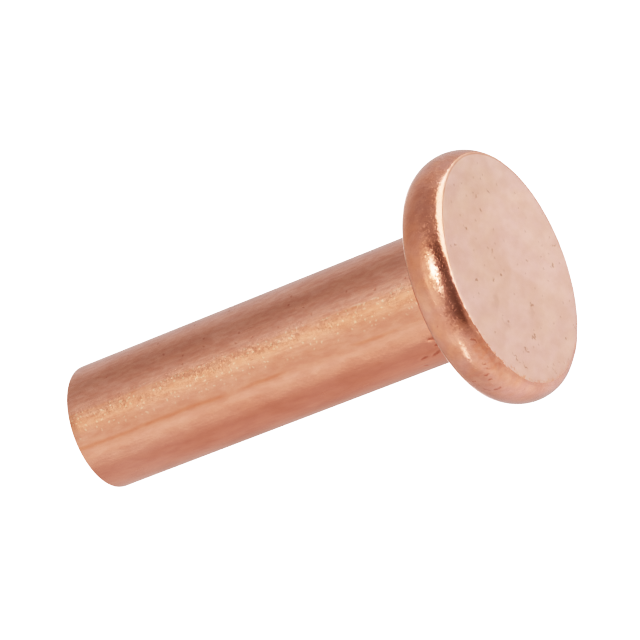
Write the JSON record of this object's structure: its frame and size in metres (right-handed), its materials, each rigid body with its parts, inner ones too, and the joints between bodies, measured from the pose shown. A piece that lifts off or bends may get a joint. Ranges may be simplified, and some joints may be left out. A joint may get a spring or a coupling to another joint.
{
  "type": "solid rivet",
  "caption": "Solid copper rivet with a plain round shank and a flat round head with a bulged edge, for joining sheet, strap or leather by heading its tail.",
  "frame": {"origin": "centre of the head's flat face, which the rivet stands on", "axes": "+Z along the shank, from the head to the tail; X and Y are any two directions across it"},
  "size_m": [0.0156, 0.0156, 0.0308],
  "materials": {
    "copper": "satin bare copper with drawn streaks along the shank"
  },
  "bodies": {
    "root": {"rivet": "copper"}
  },
  "joints": []
}
